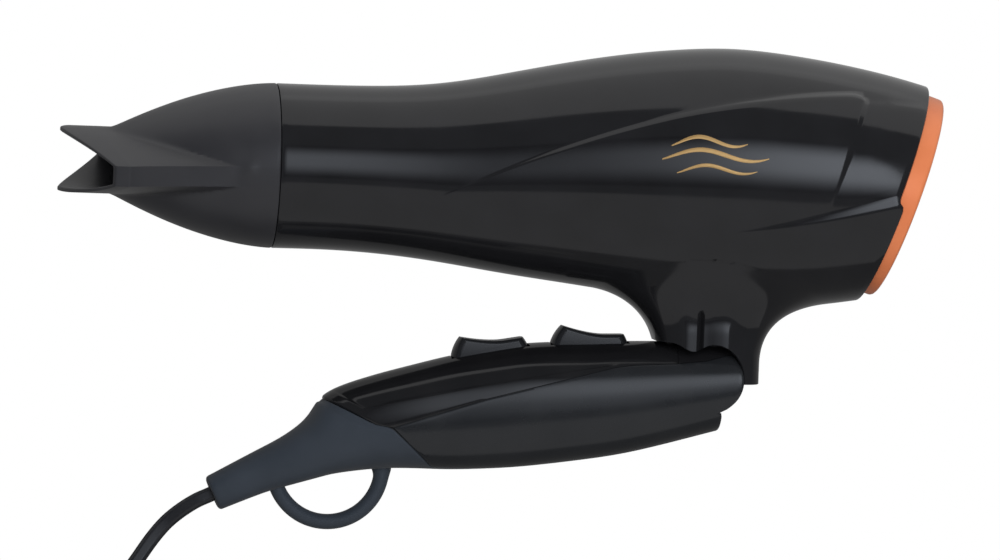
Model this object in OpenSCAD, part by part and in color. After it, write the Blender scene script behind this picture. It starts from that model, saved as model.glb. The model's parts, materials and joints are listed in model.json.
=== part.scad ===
// Folding travel hair dryer, lying on its right side with the handle folded under the barrel.
// Inside rest(), X runs back along the barrel axis from the nozzle seam, Y points to the top of the
// dryer and Z to its left side; rest() lays it down on the floor, with +Z up and the lowest point at zero.

/* [Barrel] */
// Outside diameter of the air outlet, where the nozzle fits
outlet_d = 54.4; // [52:0.2:57]
// Wall thickness of the barrel shells
shell_wall = 2; // [1.6:0.1:2.4]
// Angle that the rear opening leans forward at the bottom
rear_slant = 18; // [14:1:20]

/* [Nozzle] */
// Length of the nozzle in front of the barrel
nozzle_len = 71; // [66:1:76]
// Width of the nozzle's mouth
mouth_w = 66; // [60:1:68]
// Height of the nozzle's mouth
mouth_h = 21.6; // [18:0.2:24]
// Depth of the notch at each end of the mouth
mouth_notch = 14; // [6:1:18]
// Turn of the nozzle about the barrel axis
nozzle_turn = 7; // [0:1:15]

/* [Handle] */
// Height of the pivot line below the barrel axis
pivot_drop = 65.3; // [65:0.1:66]
// Outside radius of the knuckle around the pivot
knuckle_r = 11.6; // [11:0.1:11.8]
// Half the thickness of the hinge tongue
tongue_half = 7; // [6:0.5:8]
// Radius of the hinge pin
pin_r = 2.5; // [2:0.1:3]
// Mean radius of the hanging loop
loop_r = 18; // [17:0.5:19]

/* [Switches] */
// Half the width of a rocker cap
rocker_half_w = 5.6; // [5:0.1:6]
// Radius of a rocker's end faces about its pivot
rocker_r = 13.4; // [13:0.1:13.6]
// Depth of a rocker's pivot below the cover
rocker_depth = 4.4; // [4.3:0.1:4.5]

/* [Motor and fan] */
// Motor can diameter
motor_d = 28; // [24:1:30]
// Number of fan blades
fan_blades = 7; // [5:1:9]
// Fan radius
fan_r = 30; // [28:0.5:30.5]

/* [Cord] */
// Width of the cord
cord_d = 5; // [4.6:0.1:5.2]
// Mean radius of the coil of spare cord
coil_r = 30; // [29:1:32]

/* [Hidden] */

// How the dryer lies: rolled about the barrel until the grip's side touches the floor, and pitched until
// the end of the nozzle's mouth touches it too
roll = 13.2;
pitch = -2;
rest_shift = [-73.9, 36.5, 33.58];

outlet_r = outlet_d / 2;
bore_r = outlet_r - shell_wall;
pivot = [145, -pivot_drop];

// Barrel sections: [x, top, bottom, half width]
barrel_path = [
    [0, outlet_r, -outlet_r, outlet_r], [22, outlet_r, -outlet_r, outlet_r],
    [44, 27.9, -28.6, 28], [60, 29.8, -30.6, 29.4], [78, 33.5, -33.2, 31.8],
    [98, 37.7, -35.6, 34.4], [118, 41.1, -38.1, 36.8], [136, 43.1, -40, 38.4],
    [152, 43.8, -41, 39], [174, 41.8, -41, 38.4], [194, 38.6, -38.2, 37],
    [209, 35.3, -35.4, 35.6], [224, 31, -31.5, 33.6]];

// Neck sections: [depth below the axis, front x, rear x, half width]
neck_path = [
    [20, 84, 204, 22], [36, 108, 186, 23.4], [39, 115.8, 180, 22.5], [42, 120.9, 174.4, 21.5],
    [46.5, 125, 168, 20], [51, 127.4, 164.2, 18.8], [56, 128.8, 161.8, 18],
    [62, 129, 161, 17.8], [70, 129, 161, 17.6]];

// Grip sections: [centre x, centre y, half height, half width, lean of the section]
grip_path = [
    [-16.2, -108.9, 5.9, 5.9, 25], [-1.2, -101.4, 6.9, 7, 20], [7.9, -97.3, 8.1, 8.6, 12],
    [16.2, -92.7, 10.1, 10.6, 11], [22.2, -87.6, 13.4, 13, 11], [36.4, -83.6, 15.3, 15.2, 6],
    [49, -81.4, 17, 16.4, 3], [61, -79.6, 18.8, 17, 0], [74, -77.9, 19.8, 17.6, 0],
    [87, -76.1, 20.4, 18, 0], [106, -74.2, 19.5, 18, 0], [119, -72.7, 18.6, 17.9, 0],
    [132, -70.8, 17.1, 17.8, 0], [145, -68.9, 15.2, 17.7, 0], [158, -67, 13.3, 17.6, 0]];

// Line where the front cover, the back shell and the cord boot meet
cover_line = [[41, -84.6], [71.5, -74], [93, -68], [114, -62.4], [120, -61.6], [135, -61.2]];
boot_line = [[16, -75.6], [19.8, -75.8], [27.6, -79.6], [35.3, -83.6], [41, -84.6]];

// Places of the two rockers on the cover: [x, y, slope of the cover]
speed_place = [73.6, -58.2, 10.5];
heat_place = [106.6, -54.6, 2];
// Dished top of a rocker: [x, height above the cover]
dish = [[14, 2.4], [11, 2.4], [4.5, 2.5], [0, 3], [-4, 3.8], [-8.6, 5.3], [-14, 5.4]];
axle_r = 0.7;

// Screws up through the right shell into the hinge block, and through the back shell into the front cover
screw_r = 1.5;
shell_screw_places = [[136.5, -46.5], [155, -46.5]];
handle_screw_places = [[62, -62], [134.3, -51.2]];
handle_screw_len = 8;

sides = 32;
rear_centre = [204.3, -2.5, 0];
heater_x = [16, 88];
duct_x = [118, 192];
motor_x = [128, 160];
fan_x = [166, 182];

// The cord's way from the boot to the coil, in floor coordinates
cord_route = [[-89.2, -69.5, 8.2], [-94, -71.7, 7.4], [-99, -74.8, 5.6], [-104, -79, 3.8],
    [-108.5, -84.5, 2.8], [-112.5, -90.5, 2.6], [-116.7, -96.8, 2.6], [-120.9, -103.1, 2.6],
    [-125.1, -109.4, 2.6], [-129.3, -115.7, 2.6], [-133.4, -122, 2.6]];
coil_centre = [-100, -144];
// Half the coil's width from its inner to its outer turn, and half its height
coil_half = [2.5 * cord_d, cord_d];
plug_start = [-79, -184, 12.6];

// ---------- shared functions ----------

function mix(a, b, t) = a + (b - a) * t;
function curve(a, b, c, d, t) =
    (2 * b + (c - a) * t + (2 * a - 5 * b + 4 * c - d) * t * t + (3 * b - a - 3 * c + d) * t * t * t) / 2;
function smooth_path(p, n) = concat(
    [for (i = [0:len(p) - 2], k = [0:n - 1])
        curve(p[max(i - 1, 0)], p[i], p[i + 1], p[min(i + 2, len(p) - 1)], k / n)],
    [p[len(p) - 1]]);
function power(v, e) = sign(v) * pow(abs(v), e);
// One point of a rounded outline: e = 1 is an ellipse, smaller is squarer
function oval(a, h, w, e) = [h * power(sin(a), e), w * power(cos(a), e)];

// Skin over rings of points. With split, each ring runs along one side of a wall and back along the
// other, and the ends are closed by strips between the two sides.
module loft(rings, split = false) {
    n = len(rings[0]);
    m = len(rings);
    last = (m - 1) * n;
    faces = concat(
        [for (i = [0:m - 2], j = [0:n - 1]) [i * n + j, i * n + (j + 1) % n, (i + 1) * n + (j + 1) % n]],
        [for (i = [0:m - 2], j = [0:n - 1]) [i * n + j, (i + 1) * n + (j + 1) % n, (i + 1) * n + j]],
        split ? [] : [[for (j = [n - 1:-1:0]) j], [for (j = [0:n - 1]) last + j]],
        !split ? [] : [for (j = [0:n / 2 - 2]) each [
            [j, n - 1 - j, j + 1], [j + 1, n - 1 - j, n - 2 - j],
            [last + j, last + j + 1, last + n - 1 - j],
            [last + j + 1, last + n - 2 - j, last + n - 1 - j]]]);
    polyhedron(points = [for (r = rings) each r], faces = faces, convexity = 6);
}

module along_x(x0, x1, r, fn = 64) {
    translate([x0, 0, 0]) rotate([0, 90, 0]) cylinder(r = r, h = x1 - x0, $fn = fn);
}

module tube_x(x0, x1, r_out, r_in, fn = 72) {
    difference() {
        along_x(x0, x1, r_out, fn);
        along_x(x0 - 1, x1 + 1, r_in, fn);
    }
}

// Lays the dryer down on the floor
module rest() {
    translate(rest_shift) rotate([roll, pitch, 0]) children();
}

// Puts children at the pivot line, with their Z along it
module at_pivot() {
    translate([pivot[0], pivot[1], 0]) children();
}

// Puts children on the slanted plane of the rear opening, with X pointing out of it
module at_rear() {
    translate(rear_centre) rotate([0, 0, -rear_slant]) children();
}

// ---------- barrel ----------

// A smooth curve through a path's rows at v, its first column
function row_at(p, v, i = 0) = i < len(p) - 2 && v > p[i + 1][0] ? row_at(p, v, i + 1) : i;
function slope_at(p, i) = let (a = p[max(i - 1, 0)], b = p[min(i + 1, len(p) - 1)])
    (b - a) / (b[0] - a[0]);
function path_at(p, v) =
    let (i = row_at(p, v), step = p[i + 1][0] - p[i][0], t = (v - p[i][0]) / step)
    (1 + 2 * t) * pow(1 - t, 2) * p[i] + t * pow(1 - t, 2) * step * slope_at(p, i)
    + t * t * (3 - 2 * t) * p[i + 1] - t * t * (1 - t) * step * slope_at(p, i + 1);

// Half width of the barrel and of the neck at x, y, with the surface inset by t
function barrel_w(x, y, t) = let (s = path_at(barrel_path, x), h = (s[1] - s[2]) / 2 - t)
    (s[3] - t) * power(1 - pow((y - (s[1] + s[2]) / 2) / h, 2), 0.5);
function neck_w(x, y, t) = let (s = path_at(neck_path, -y), h = (s[2] - s[1]) / 2 - t)
    (s[3] - t) * power(1 - pow(abs(x - (s[1] + s[2]) / 2) / h, 2.5), 0.4);
function soft_max(a, b) = (a + b + sqrt((a - b) * (a - b) + 4)) / 2;
function shell_w(x, y, t) = y > -16 ? barrel_w(x, y, t)
    : max(0.02, soft_max(barrel_w(x, y, t), neck_w(x, y, t)));

// Lowest point of the shell in side view, at x
function deepest(x, t) = max([for (d = [20:0.5:70]) let (s = path_at(neck_path, d))
    if (x > s[1] + t && x < s[2] - t) d]);
function shell_low(x, t) = min(path_at(barrel_path, x)[2] + t,
    x < 108 || x > 186 ? 0 : -deepest(x, t));

shell_steps = 18;
function shell_arc(x, t, low) =
    let (s = path_at(barrel_path, x), top = s[1] - t, bottom = max(low, shell_low(x, t)))
    [for (k = [0:shell_steps]) let (y = (top + bottom) / 2 + (top - bottom) / 2 * cos(180 * k / shell_steps))
        [x, y, k == 0 || k == shell_steps ? 0 : shell_w(x, y, t)]];
function shell_ring(x) = let (outer = shell_arc(x, 0, x < 156.4 ? -54.5 : -69))
    concat(shell_arc(x, shell_wall, -51), [for (k = [shell_steps:-1:0]) outer[k]]);

shell_x = [0, 12, 24, 36, 48, 60, 72, 84, 96, 108, 114, 118, 121, 124, 126, 127.8, 129.4, 132, 138, 145,
    151, 156, 156.8, 159, 160.6, 161.6, 163.6, 167, 171, 175, 180, 187, 195, 204, 213, 222];

module shell_half() {
    difference() {
        loft([for (x = shell_x) shell_ring(x)], split = true);
        handle_room();
        rear_cut(0);
        at_pivot() translate([-12.3, 4, -tongue_half - 0.2]) cube([24.6, 18, 2 * tongue_half + 0.4]);
    }
}

module rear_cut(back) {
    at_rear() translate([back, -80, -80]) cube([80, 160, 160]);
}

// Room that the folding handle needs below the neck
module handle_room() {
    translate([100, -90, -40]) cube([pivot[0] - 100, 90 - 53.3, 80]);
    at_pivot() cylinder(r = knuckle_r + 0.4, h = 80, center = true, $fn = 96);
    translate([pivot[0] - 5, -90, -40]) cube([knuckle_r + 5.4, 90 - pivot_drop, 80]);
    translate([100, -90, -40]) cube([80, 90 - 66.5, 80]);
}

module barrel_shell_left() {
    color("#151517") rest() shell_half();
}

module barrel_shell_right() {
    color("#151517") rest() difference() {
        mirror([0, 0, 1]) shell_half();
        for (p = shell_screw_places) {
            translate([p[0], p[1], -60]) cylinder(r = 1.6, h = 60, $fn = 32);
            translate([p[0], p[1], -60]) cylinder(r = 3.1, h = 60 - 14, $fn = 32);
        }
    }
}

module screw(r, length) {
    cylinder(r = r, h = length, $fn = 32);
    difference() {
        translate([0, 0, -2]) cylinder(r = 1.9 * r, h = 2.001, $fn = 32);
        translate([-1.4 * r, -0.3, -2.1]) cube([2.8 * r, 0.6, 0.9]);
        translate([-0.3, -1.4 * r, -2.1]) cube([0.6, 2.8 * r, 0.9]);
    }
}

module shell_screws() {
    color("#8a8c90") rest()
        for (p = shell_screw_places) translate([p[0], p[1], -13]) screw(screw_r, 16);
}

module rear_trim_ring() {
    color("#e0783c") rest() at_rear() rotate([0, 90, 0]) rotate_extrude($fn = 120)
        polygon([[30.4, -4], [33.2, -4], [33.2, 0], [34.2, 0], [34.2, 2.4], [33.7, 3.9], [32.6, 5],
            [31.4, 5.4], [30.4, 5]]);
}

module rear_grille() {
    color("#1b1b1d") rest() at_rear() {
        for (r = [6, 12, 18, 24]) tube_x(1.4, 3.2, r, r - 1.5);
        tube_x(-2, 3.2, 30.3, 28.6);
        along_x(1.4, 3.2, 2.6);
        for (a = [0:45:315])
            rotate([a, 0, 0]) translate([1.4, 2, -0.8]) cube([1.8, 27, 1.6]);
    }
}

module lint_filter() {
    color("#6d6f72") rest() at_rear() {
        tube_x(-3.4, -2.3, 29.9, 27.6);
        intersection() {
            along_x(-3.1, -2.6, 28);
            for (k = [-8:8]) {
                translate([-3.1, 3.3 * k - 0.25, -30]) cube([0.5, 0.5, 60]);
                translate([-3.1, -30, 3.3 * k - 0.25]) cube([0.5, 60, 0.5]);
            }
        }
    }
}

module outlet_grille() {
    color("#202022") rest() {
        tube_x(12.2, 15, bore_r - 0.2, bore_r - 2);
        for (r = [7, 13, 19]) tube_x(12.8, 14.4, r, r - 1.2);
        for (a = [0:60:300])
            rotate([a, 0, 0]) translate([12.8, 0, -0.7]) cube([1.6, bore_r - 1, 1.4]);
    }
}

// ---------- heater ----------

module heat_shield() {
    color("#c9b27c") rest() tube_x(heater_x[0], heater_x[1], 23.6, 22.8);
}

module heater_cards() {
    color("#d8c9a0") rest() {
        translate([heater_x[0] + 1, -20, -0.4]) cube([70, 40, 0.8]);
        translate([heater_x[0] + 1, -0.4, -20]) cube([70, 40, 0.8] - [0, 39.2, -39.2]);
    }
}

module heating_wire() {
    color("#a8a29a") rest() {
        for (k = [0:10]) translate([heater_x[0] + 6 + 6 * k, 0, 0]) rotate([0, 90, 0])
            rotate_extrude($fn = 64) translate([21.2, 0]) circle(r = 0.7, $fn = 16);
        for (a = [45, 225]) rotate([a, 0, 0]) translate([heater_x[0] + 5, 20.9, -0.5])
            cube([62, 0.6, 1]);
    }
}

module thermostat() {
    color("#b9bbbe") rest() translate([heater_x[1] - 16, 9, 0.5]) {
        cube([9, 7, 2.4]);
        translate([4.5, 3.5, 2.3]) cylinder(r = 2.6, h = 1.6, $fn = 40);
    }
}

module thermal_fuse() {
    color("#cfd0d2") rest() translate([heater_x[0] + 30, -11, 2.2]) rotate([0, 90, 0]) {
        cylinder(r = 1.6, h = 11, $fn = 32);
        translate([0, 0, -7]) cylinder(r = 0.4, h = 25, $fn = 16);
    }
}

// ---------- motor and fan ----------

module fan_duct() {
    color("#2b2c2e") rest() {
        tube_x(duct_x[0], duct_x[1] - 4, fan_r + 2.6, fan_r + 1);
        tube_x(motor_x[0] - 2, motor_x[1] - 2, motor_d / 2 + 1.7, motor_d / 2);
        for (a = [0:60:300]) rotate([a, 0, 0]) translate([motor_x[0] + 2, motor_d / 2 + 1, -0.8])
            cube([24, fan_r + 0.6 - motor_d / 2, 1.6]);
    }
}

module motor() {
    color("#b4b6b8") rest() difference() {
        union() {
            along_x(motor_x[0], motor_x[1] - 1.6, motor_d / 2);
            along_x(motor_x[0] - 1.5, motor_x[1], 4.6);
        }
        along_x(motor_x[0] - 5, motor_x[1] + 5, 1.05, 40);
    }
}

module motor_diodes() {
    color("#26262a") rest() for (a = [45:90:315]) rotate([a, 0, 0])
        translate([motor_x[0] - 3.4, 9, 0]) rotate([0, 90, 0]) {
            cylinder(r = 1.3, h = 3.4, $fn = 32);
            translate([0, 0, -2.6]) cylinder(r = 0.4, h = 2.7, $fn = 16);
        }
}

module fan_impeller() {
    color("#3a3b3e") rest() {
        difference() {
            union() {
                along_x(fan_x[0], fan_x[1], 10);
                intersection() {
                    tube_x(fan_x[0] - 1, fan_x[1] + 1, fan_r, 8, 96);
                    for (k = [0:fan_blades - 1]) rotate([360 * k / fan_blades, 0, 0])
                        translate([(fan_x[0] + fan_x[1]) / 2, 0, 0]) rotate([0, 38, 0])
                            translate([-0.8, 8, -9]) cube([1.6, fan_r, 18]);
                }
            }
            along_x(fan_x[0] - 1, fan_x[1] + 1, 1, 40);
        }
    }
}

module motor_shaft() {
    color("#d0d2d4") rest() along_x(motor_x[0] - 4, fan_x[1] + 1, 1, 40);
}

module barrel_leads() {
    for (s = [-1, 1]) color(s > 0 ? "#2a55a8" : "#7a4a28") rest() {
        translate([0, -25.5, 4 * s]) along_x(92, 116, 1.1, 24);
        translate([0, -11, 4 * s]) along_x(88.4, 93, 1.1, 24);
        translate([93, -11, 4 * s]) rotate([90, 0, 0]) cylinder(r = 1.1, h = 14.5, $fn = 24);
    }
}

// ---------- hinge ----------

module hinge_block() {
    color("#232427") rest() difference() {
        union() {
            at_pivot() cylinder(r = 9.6, h = 2 * tongue_half, center = true, $fn = 96);
            at_pivot() translate([-9.6, 0, -tongue_half]) cube([19.2, 26, 2 * tongue_half]);
            at_pivot() translate([-12, 15, -tongue_half - 4]) cube([24, 8, 2 * tongue_half + 8]);
        }
        at_pivot() cylinder(r = pin_r + 0.05, h = 40, center = true, $fn = 64);
        for (p = shell_screw_places)
            translate([p[0], p[1], -13]) cylinder(r = screw_r, h = 17, $fn = 32);
        at_pivot() translate([0, 30, 0]) rotate([90, 0, 0]) cylinder(r = 3, h = 24, $fn = 40);
    }
}

module hinge_washers() {
    color("#c8cacc") rest() at_pivot() for (s = [-1, 1])
        translate([0, 0, s * (tongue_half + 0.4)]) difference() {
            cylinder(r = 6, h = 0.5, center = true, $fn = 64);
            cylinder(r = pin_r + 0.08, h = 2, center = true, $fn = 64);
        }
}

module hinge_pin() {
    color("#c8cacc") rest() at_pivot() translate([0, 0, -15])
        cylinder(r = pin_r, h = 30, $fn = 64);
}

module hinge_cap() {
    color("#1a1a1c") rest() at_pivot() translate([0, 0, -17.2])
        cylinder(r = 4, h = 2.2, $fn = 64);
}

// ---------- nozzle ----------

// Outer half height and half width of the nozzle at t, from 0 at the seam to 1 at the mouth
function nozzle_h(t) = mouth_h / 2 + (outlet_r - mouth_h / 2) * max(0, 1 - pow(t / 0.72, 1.68));
function nozzle_w(t) = outlet_r + (mouth_w / 2 - outlet_r) * t * t * (3 - 2 * t);
function nozzle_e(t) = mix(1, 0.76, min(1, 1.3 * t));

function nozzle_ring(t, inset) = [for (j = [0:sides - 1])
    let (
        o = oval(360 * j / sides, nozzle_h(t) - inset, nozzle_w(t) - inset, nozzle_e(t)),
        back = mouth_notch * pow(o[1] / nozzle_w(t), 2) * pow(max(0, (t - 0.4) / 0.6), 1.5))
    [-nozzle_len * t + back, o[0], o[1]]];

nozzle_t = [0, 0.08, 0.16, 0.24, 0.32, 0.4, 0.48, 0.56, 0.64, 0.68, 0.72, 0.8, 0.9, 1];

module concentrator_nozzle() {
    color("#2a2b2e") rest() rotate([nozzle_turn, 0, 0]) {
        difference() {
            loft([for (i = [len(nozzle_t) - 1:-1:0]) nozzle_ring(nozzle_t[i], 0)]);
            loft([for (i = [len(nozzle_t) - 1:-1:0])
                [for (p = nozzle_ring(nozzle_t[i], 1.9))
                    p + [i == 0 ? 1 : i == len(nozzle_t) - 1 ? -0.5 : 0, 0, 0]]]);
        }
        tube_x(-3.4, -0.4, bore_r + 1.3, bore_r - 1.9);
        tube_x(-1, 10.5, bore_r - 0.3, bore_r - 1.9);
    }
}

// ---------- handle ----------

function grip_ring(s, inset) = [for (j = [0:sides - 1])
    let (o = oval(360 * j / sides, s[2] - inset, s[3] - inset, 0.82))
    [s[0] - o[0] * sin(s[4]), s[1] + o[0] * cos(s[4]), o[1]]];

module grip_form(inset) {
    loft([for (s = grip_path) grip_ring(s, inset)]);
}

module prism(points) {
    translate([0, 0, -30]) linear_extrude(60) polygon(points);
}

// Everything behind the knuckle and the grip's end face
module past_knuckle() {
    difference() {
        translate([pivot[0], -76.5, -40]) cube([40, 50, 80]);
        at_pivot() cylinder(r = knuckle_r, h = 90, center = true, $fn = 96);
    }
    translate([148.6, -120, -40]) cube([40, 43.5, 80]);
}

module cover_zone() {
    prism(concat(boot_line, [for (i = [1:len(cover_line) - 1]) cover_line[i]], [[135, -40], [10, -40]]));
}

module boot_zone() {
    prism(concat([[-40, -130], [-40, -72]], boot_line, [[55, -97.6], [58, -130]]));
}

// Everything in front of the back shell: the cover's and the boot's zones as one
module front_zone() {
    prism(concat([[-40, -40], [-40, -130], [58, -130], [55, -97.6]], cover_line, [[135, -40]]));
}

// Hollow inside the grip, closed off in front of the knuckle
module grip_hollow() {
    intersection() {
        grip_form(2);
        translate([30, -130, -40]) cube([101, 100, 80]);
    }
}

module tongue_slot() {
    at_pivot() translate([-10.4, -10.4, -tongue_half - 0.8])
        cube([40, 40, 2 * tongue_half + 1.6]);
}

module handle_back_shell() {
    color("#1a1b1e") rest() difference() {
        grip_form(0);
        past_knuckle();
        front_zone();
        grip_hollow();
        tongue_slot();
        at_pivot() translate([0, 0, -15]) cylinder(r = pin_r, h = 30, $fn = 64);
        at_pivot() translate([0, 0, -25]) cylinder(r = 4, h = 10, $fn = 64);
        for (p = handle_screw_places) translate([p[0], p[1] - 32.8 + handle_screw_len, 0])
            rotate([90, 0, 0]) cylinder(r = 1.6, h = 60, $fn = 32);
        for (p = handle_screw_places) translate([p[0], p[1] - 33, 0])
            rotate([90, 0, 0]) cylinder(r = 3.2, h = 40, $fn = 32);
    }
}

module handle_front_cover() {
    color("#131315") rest() difference() {
        intersection() {
            grip_form(0);
            cover_zone();
        }
        grip_hollow();
        for (p = [speed_place, heat_place]) on_cover(p)
            translate([0, -rocker_depth, 0])
                cylinder(r = rocker_r + 0.3, h = 2 * rocker_half_w + 0.7, center = true, $fn = 96);
    }
}

module handle_screws() {
    color("#8a8c90") rest() for (p = handle_screw_places)
        translate([p[0], p[1] - 33.02, 0]) rotate([-90, 0, 0])
            screw(screw_r, handle_screw_len);
}

// Puts children on the front cover, with X along it and Y out of it
module on_cover(p) {
    translate([p[0], p[1], 0]) rotate([0, 0, p[2]]) children();
}

module rocker(p) {
    on_cover(p) translate([0, -rocker_depth, 0]) {
        intersection() {
            cylinder(r = rocker_r, h = 2 * rocker_half_w, center = true, $fn = 96);
            translate([0, 0, -rocker_half_w]) linear_extrude(2 * rocker_half_w)
                polygon(concat([[-14, 1.4], [14, 1.4]], [for (d = dish) d + [0, rocker_depth]]));
        }
        cylinder(r = 4, h = 2 * rocker_half_w, center = true, $fn = 48);
        cylinder(r = axle_r, h = 2 * rocker_half_w + 2.6, center = true, $fn = 40);
    }
}

module speed_rocker() {
    color("#101012") rest() rocker(speed_place);
}

module heat_rocker() {
    color("#101012") rest() rocker(heat_place);
}

module switch_body(p) {
    on_cover(p) translate([0, -rocker_depth, 0]) difference() {
        union() {
            translate([-10.5, -17, -7.9]) cube([21, 12, 15.8]);
            for (s = [-1, 1]) translate([-3, -6, s * 6.6 - 0.5]) cube([6, 7.1, 1]);
            for (x = [-7, 0, 7]) translate([x - 0.4, -21, -2.4]) cube([0.8, 5, 4.8]);
        }
        cylinder(r = axle_r + 0.15, h = 30, center = true, $fn = 40);
        cylinder(r = 4.3, h = 2 * rocker_half_w + 0.6, center = true, $fn = 48);
    }
}

module speed_switch_body() {
    color("#303236") rest() switch_body(speed_place);
}

module heat_switch_body() {
    color("#303236") rest() switch_body(heat_place);
}

module interference_capacitor() {
    color("#c7a23a") rest() translate([88, -91, -6]) cube([15, 7, 12]);
}

module handle_leads() {
    for (s = [-1, 1]) color(s > 0 ? "#2a55a8" : "#7a4a28") rest()
        translate([0, -84, 3.4 * s]) along_x(57.5, 84, 1.1, 24);
}

module cord_clamp() {
    color("#26272a") rest() translate([46, -87, 0]) difference() {
        translate([-4, -2, -10]) cube([8, 4, 20]);
        for (s = [-1, 1]) translate([0, 3, 7 * s]) rotate([90, 0, 0]) cylinder(r = screw_r, h = 6, $fn = 32);
    }
}

module clamp_screws() {
    color("#8a8c90") rest() translate([46, -85, 0]) for (s = [-1, 1])
        translate([0, 0, 7 * s]) rotate([90, 0, 0]) screw(screw_r, 5);
}

module cord_boot() {
    color("#2a2d31") rest() {
        difference() {
            intersection() {
                grip_form(0);
                boot_zone();
            }
            grip_hollow();
        }
        difference() {
            translate([21.5, -99, 0]) rotate_extrude($fn = 96) translate([loop_r, 0])
                scale([1, 1.1]) circle(r = 2.6, $fn = 32);
            translate([-10, -101.5, -5]) cube([60, 30, 10]);
        }
    }
}

// ---------- cord ----------

// Frames carried along the route without twist
function unit(v) = v / norm(v);
function dirs(p) = [for (i = [0:len(p) - 1]) unit(p[min(i + 1, len(p) - 1)] - p[max(i - 1, 0)])];
function tube_ring(c, d, r, n) = let (side = unit(cross(d, [0, 0, 1])), up = cross(side, d))
    [for (j = [0:n - 1]) c + r * (cos(360 * j / n) * side + sin(360 * j / n) * up)];

module power_cord() {
    color("#17181a") loft([let (p = smooth_path(cord_route, 2), d = dirs(p))
        for (i = [0:len(p) - 1]) tube_ring(p[i], d[i], cord_d / 2, 8)]);
}

module cord_coil() {
    color("#17181a") translate([coil_centre[0], coil_centre[1], 0]) rotate_extrude($fn = 72)
        polygon([for (k = [0:15]) [coil_r, coil_half[1]]
            + [coil_half[0] * power(cos(22.5 * k), 0.6), coil_half[1] * power(sin(22.5 * k), 0.6)]]);
}

module cord_tie() {
    color("#303134") translate([coil_centre[0] + coil_r, coil_centre[1], coil_half[1]])
        rotate([90, 0, 0]) linear_extrude(8, center = true) difference() {
            square(2 * coil_half + [1.6, 0], center = true);
            square(2 * coil_half - [0.4, 1.6], center = true);
        }
}

module plug_body() {
    color("#1c1d20") translate(plug_start) rotate([0, 90, 0]) {
        cylinder(r1 = 3.4, r2 = 6, h = 28, $fn = 40);
        translate([0, 0, 28]) intersection() {
            scale([0.7, 1, 1]) cylinder(r = 18, h = 42, $fn = 64);
            rotate_extrude($fn = 64)
                polygon([[0, 0], [8, 0], [11, 5], [14, 14], [18, 24], [18, 40], [16.4, 42], [0, 42]]);
        }
    }
}

module plug_pins() {
    color("#c9cbcd") translate(plug_start + [70, 0, 0]) for (s = [-1, 1])
        translate([0, 9.5 * s, 0]) rotate([0, 90, 0]) cylinder(r = 2.4, h = 19, $fn = 40);
}

barrel_shell_left();
barrel_shell_right();
shell_screws();
rear_trim_ring();
rear_grille();
lint_filter();
outlet_grille();
heat_shield();
heater_cards();
heating_wire();
thermostat();
thermal_fuse();
fan_duct();
motor();
motor_diodes();
barrel_leads();
hinge_block();
hinge_washers();
fan_impeller();
motor_shaft();
concentrator_nozzle();
handle_back_shell();
handle_front_cover();
handle_screws();
speed_switch_body();
heat_switch_body();
interference_capacitor();
handle_leads();
cord_clamp();
clamp_screws();
hinge_pin();
hinge_cap();
cord_boot();
speed_rocker();
heat_rocker();
power_cord();
cord_coil();
cord_tie();
plug_body();
plug_pins();
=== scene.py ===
"""Looks of the folding travel hair dryer: smooth shells, cord, materials, light and camera.

Shapes are worked out in the dryer's own millimetres: X back along the barrel axis from the nozzle seam,
Y to the top of the dryer, Z to its left side. at() lays such a point down in the frame, in metres.
"""
import json
import math

import bpy
from mathutils import Matrix, Vector


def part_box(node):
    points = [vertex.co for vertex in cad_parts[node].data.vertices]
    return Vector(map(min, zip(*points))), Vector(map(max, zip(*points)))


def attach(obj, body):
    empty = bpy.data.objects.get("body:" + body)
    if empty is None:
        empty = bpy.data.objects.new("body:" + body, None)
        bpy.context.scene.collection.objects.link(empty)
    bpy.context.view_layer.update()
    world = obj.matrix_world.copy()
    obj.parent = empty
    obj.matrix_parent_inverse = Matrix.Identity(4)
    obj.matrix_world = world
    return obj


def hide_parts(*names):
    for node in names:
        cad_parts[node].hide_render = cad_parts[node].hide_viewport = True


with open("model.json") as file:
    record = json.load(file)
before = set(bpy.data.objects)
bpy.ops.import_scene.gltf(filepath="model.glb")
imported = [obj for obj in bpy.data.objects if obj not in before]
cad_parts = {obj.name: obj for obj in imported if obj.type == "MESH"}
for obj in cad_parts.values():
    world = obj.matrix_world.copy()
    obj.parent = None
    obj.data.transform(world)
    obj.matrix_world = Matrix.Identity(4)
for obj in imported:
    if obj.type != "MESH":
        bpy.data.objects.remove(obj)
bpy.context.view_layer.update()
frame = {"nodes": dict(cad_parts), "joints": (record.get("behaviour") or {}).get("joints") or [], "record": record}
MM = 0.001

# ---------- the dryer's own axes, from its joints ----------

JOINTS = {j["name"]: j for j in frame["joints"]}
AXIS_X = Vector(JOINTS["nozzle_spin"]["axis"]).normalized()
AXIS_Z = Vector(JOINTS["handle_fold"]["axis"]).normalized()
AXIS_Y = AXIS_Z.cross(AXIS_X).normalized()
ORIGIN = Vector(JOINTS["nozzle_spin"]["pos_m"])


def at(p):
    """A point of the dryer, in millimetres along its own axes, as a point of the frame in metres."""
    return ORIGIN + MM * (p[0] * AXIS_X + p[1] * AXIS_Y + p[2] * AXIS_Z)


def own(p):
    """A point of the frame in metres as the dryer's own millimetres."""
    d = (Vector(p) - ORIGIN) / MM
    return Vector((d.dot(AXIS_X), d.dot(AXIS_Y), d.dot(AXIS_Z)))


# ---------- small sums ----------

def mix(a, b, t):
    return a + (b - a) * t


def clamp(v, low=0.0, high=1.0):
    return max(low, min(high, v))


def ramp(v, a, b):
    """0 before a, 1 after b, and smooth between."""
    t = clamp((v - a) / (b - a))
    return t * t * (3 - 2 * t)


def line(v, a, b):
    """0 before a, 1 after b, and straight between."""
    return clamp((v - a) / (b - a))


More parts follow.
